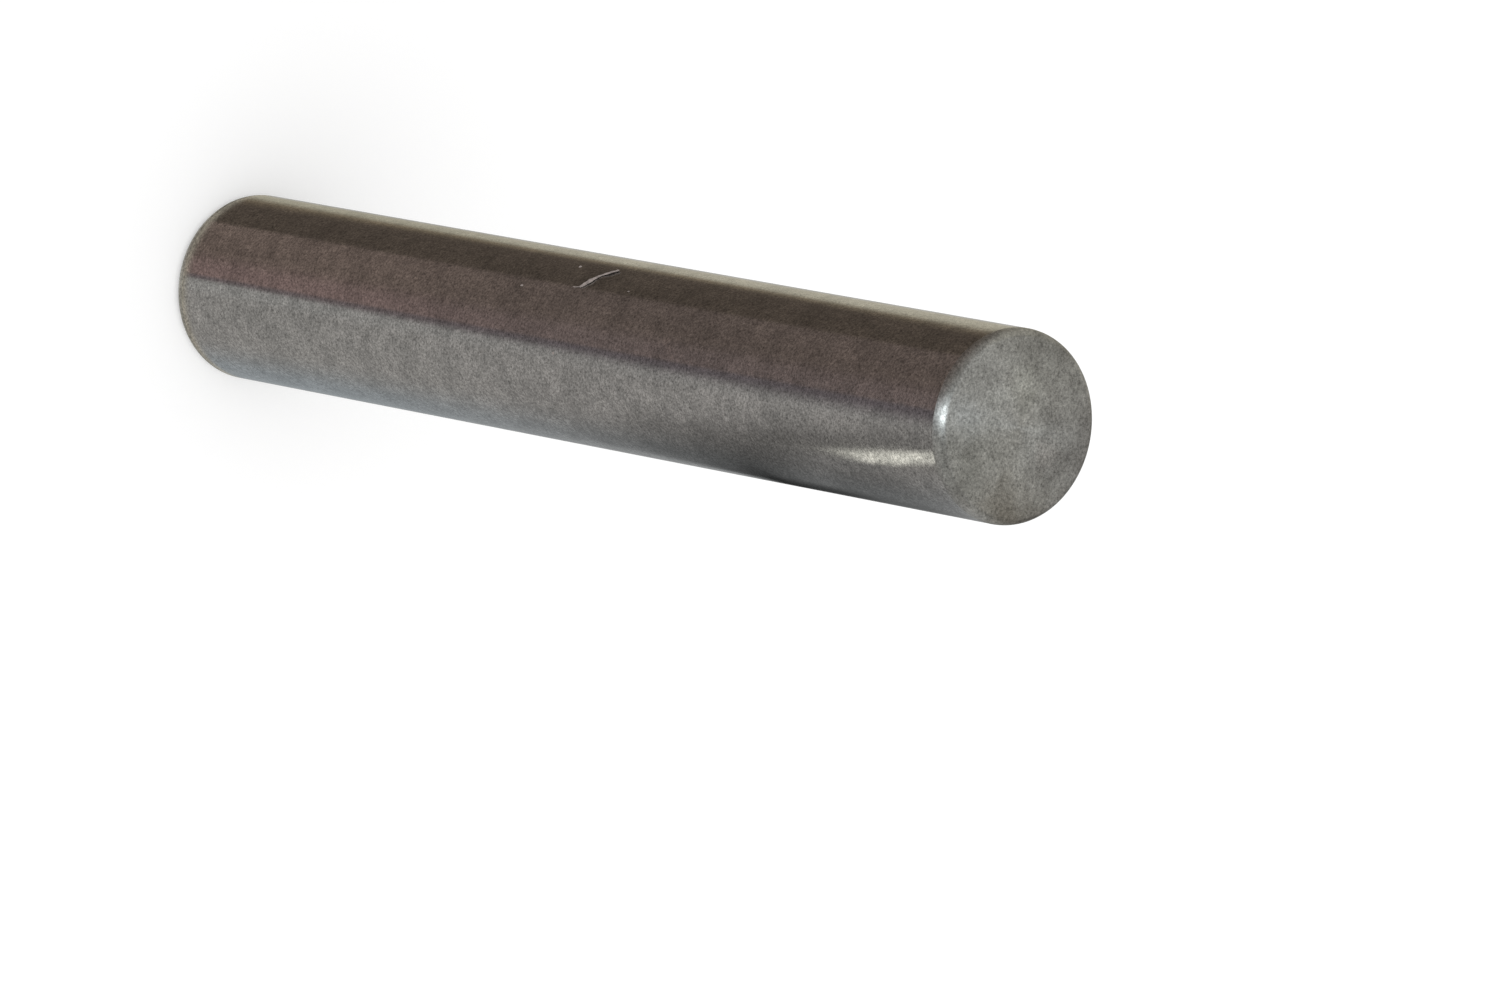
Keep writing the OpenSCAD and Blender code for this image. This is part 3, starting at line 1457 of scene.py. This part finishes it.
    def _gleam_card(self) -> None:
        """Adds a slim, upright lamp before the pin.

        Its one clear reflection is the gleam on the near end's edge. Its sides are twice the
        distance times the tangent of the half angle.
        """
        halves = (self.card_half_width, self.card_half_height)
        wide, high = (2 * self.card_far * math.tan(math.radians(half)) for half in halves)
        card = self._gloss_lamp("gleam_card", (wide, high), self.card_light, self.card_colour)
        turn, up = math.radians(self.card_bearing), math.radians(self.card_elevation)
        out = Vector((math.cos(up) * math.sin(turn), -math.cos(up) * math.cos(turn), math.sin(up)))
        card.location = Vector((0.0, 0.0, self.pin.length)) + self.card_far * out
        card.rotation_euler = (-out).to_track_quat("-Z", "Y").to_euler()

    def _strip_lamp(self) -> None:
        """Adds a short, slim lamp low beside the near end, which the shank mirrors as a strip.

        It runs straight between the points mirrored at two places on the shank. A ray mirrored at
        azimuth a leaves with bearing 2 a and falls by the camera's slope.
        """
        fall = math.radians(self.sight)
        places, ends = [], []
        for azimuth, below in self.strip_ends:
            twice = math.radians(2 * azimuth)
            level = Vector((math.sin(twice), -math.cos(twice), 0.0)) * math.cos(fall)
            places.append(Vector(self.pin.on_shank(azimuth, self.pin.length - below, 0.0)))
            ends.append(places[-1] + self.strip_far * (level - Vector((0.0, 0.0, math.sin(fall)))))
        along = ends[0] - ends[1]
        size = (self.strip_width, along.length)
        lamp = self._gloss_lamp("strip_lamp", size, self.strip_light, self.strip_colour)
        along.normalize()
        middle = (ends[0] + ends[1]) / 2
        away = middle - (places[0] + places[1]) / 2
        away = (away - away.dot(along) * along).normalized()
        axes = Matrix((along.cross(away), along, away)).transposed().to_4x4()
        turn = Matrix.Rotation(math.radians(self.strip_turn), 4, along)
        lamp.matrix_world = Matrix.Translation(middle) @ turn @ axes


# The camera


@dataclass(frozen=True)
class PhotoCamera:
    """The photograph's view, worked out from where the pin's near end lies in it.

    Attributes:
        frame_width: the photograph's width, in pixels.
        frame_height: its height.
        end_x: the near end face's centre, from the left.
        end_y: the same, from the top.
        diameter: the pin's diameter at that end, in pixels.
        focal: the focal length, in pixels.
        tilt: the angle between the pin's axis and the line of sight, in degrees.
        slope: how steeply the axis runs down to the right in the picture, in degrees.
        sensor: the camera's sensor width, in millimetres.
        near_share: the nearest distance that it sees, as a share of the pin's.
        far: the farthest distance that it sees, in metres.
    """

    frame_width: float = 1500.0
    frame_height: float = 999.0
    end_x: float = 1019.3
    end_y: float = 427.9
    diameter: float = 199.6
    focal: float = 13000.0
    tilt: float = 39.44
    slope: float = 10.47
    sensor: float = 36.0
    near_share: float = 0.05
    far: float = 40.0

    def place(self, pin: PinBody) -> None:
        """Makes the camera and sets it as the scene's.

        In the camera's own axes the near end's centre lies at its pixel's direction, as far off as
        makes the pin's diameter its size in pixels. The pin's axis leans from the line back to the
        camera by the tilt, towards the slope's direction. The frame's Y is the line of sight less
        its part along the axis, and X is Y cross Z.

        Args:
            pin: the pin.
        """
        depth = self.focal / self.diameter * 2 * pin.radius
        right = (self.end_x - self.frame_width / 2) / self.focal
        down = (self.end_y - self.frame_height / 2) / self.focal
        end = Vector((right, -down, -1.0)) * depth
        sight = end.normalized()
        slope = math.radians(self.slope)
        across = Vector((math.cos(slope), -math.sin(slope), 0.0))
        across = (across - across.dot(sight) * sight).normalized()
        tilt = math.radians(self.tilt)
        axis = (math.sin(tilt) * across - math.cos(tilt) * sight).normalized()
        ahead = (sight - sight.dot(axis) * axis).normalized()
        turn = Matrix((ahead.cross(axis), ahead, axis))
        data = bpy.data.cameras.new("photo_camera")
        data.sensor_width = self.sensor
        data.lens = self.focal / self.frame_width * self.sensor
        data.clip_start = depth * self.near_share
        data.clip_end = self.far
        camera = bpy.data.objects.new("photo_camera", data)
        location = Vector((0.0, 0.0, pin.length)) - turn @ end
        camera.matrix_world = Matrix.Translation(location) @ turn.to_4x4()
        bpy.context.scene.collection.objects.link(camera)
        bpy.context.scene.camera = camera


def report(piece: bpy.types.Object) -> None:
    """Logs a piece's name, its number of faces and its size."""
    size = ", ".join(f"{side / MM:.2f}" for side in piece.dimensions)
    LOG.info("%s: %d faces, %s mm", piece.name, len(piece.data.polygons), size)


def main() -> None:
    """Builds the pin's surface, what clings to it, the studio and the camera."""
    logging.basicConfig(level=logging.INFO, format="%(message)s")
    bpy.context.scene.view_settings.view_transform = "Standard"
    effects = EffectLibrary()
    body = PinBody.from_frame()
    skin = body.build()
    body.dress(skin, effects)
    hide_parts("pin")
    fibre = LintFibre(body).build()
    specks = DustSpecks(body).build()
    lint = LintFinish().material(effects)
    for dirt in (fibre, specks):
        dirt.data.materials.append(lint)
    for piece in (skin, fibre, specks):
        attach(piece, "root")
        report(piece)
    camera = PhotoCamera()
    camera.place(body)
    Studio(body, 90.0 - camera.tilt).build()


if __name__ == "__main__":
    main()
